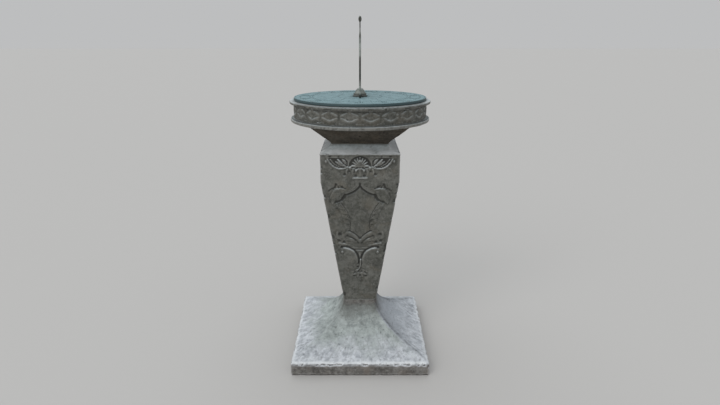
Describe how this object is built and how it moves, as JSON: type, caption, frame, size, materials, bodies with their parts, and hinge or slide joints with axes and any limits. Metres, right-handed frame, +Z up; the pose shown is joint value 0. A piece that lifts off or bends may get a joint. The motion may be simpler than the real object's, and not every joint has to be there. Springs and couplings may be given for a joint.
{
  "type": "garden sundial",
  "caption": "Garden sundial: square tapering carved stone pedestal on a swept plinth, with a round drum head, a bronze dial plate and a pierced upright gnomon.",
  "frame": {"origin": "centre of the plinth's underside, on the ground", "axes": "+Z up along the pedestal; the carved front that the picture shows faces -Y; the gnomon stands in the plane X = 0 with its sloping style falling towards +Y"},
  "size_m": [0.457, 0.457, 1.125],
  "materials": {
    "carved_stone": "matte",
    "lime_mortar": "matte",
    "verdigris_bronze": "matte",
    "bronze": "satin",
    "lead": "matte"
  },
  "bodies": {
    "root": {"base_plinth": "carved_stone", "shaft": "carved_stone", "capital": "carved_stone", "drum_head": "carved_stone", "base_joint_mortar": "lime_mortar", "neck_joint_mortar": "lime_mortar", "drum_joint_mortar": "lime_mortar", "base_dowel": "bronze", "base_dowel_lead": "lead", "base_dowel_grout": "lime_mortar", "neck_dowel": "bronze", "neck_dowel_lead": "lead", "neck_dowel_grout": "lime_mortar", "drum_dowel": "bronze", "drum_dowel_lead": "lead", "drum_dowel_grout": "lime_mortar", "dial_bed": "lime_mortar", "dial_plate": "verdigris_bronze", "dial_screw_1": "bronze", "dial_screw_2": "bronze", "dial_screw_3": "bronze", "dial_screw_4": "bronze", "dial_plug_1": "lead", "dial_plug_2": "lead", "dial_plug_3": "lead", "dial_plug_4": "lead", "gnomon_blade": "bronze", "gnomon_cheek_left": "bronze", "gnomon_cheek_right": "bronze", "gnomon_rivet": "bronze", "cheek_screw_left_front": "bronze", "cheek_screw_left_rear": "bronze", "cheek_screw_right_front": "bronze", "cheek_screw_right_rear": "bronze"}
  },
  "joints": []
}
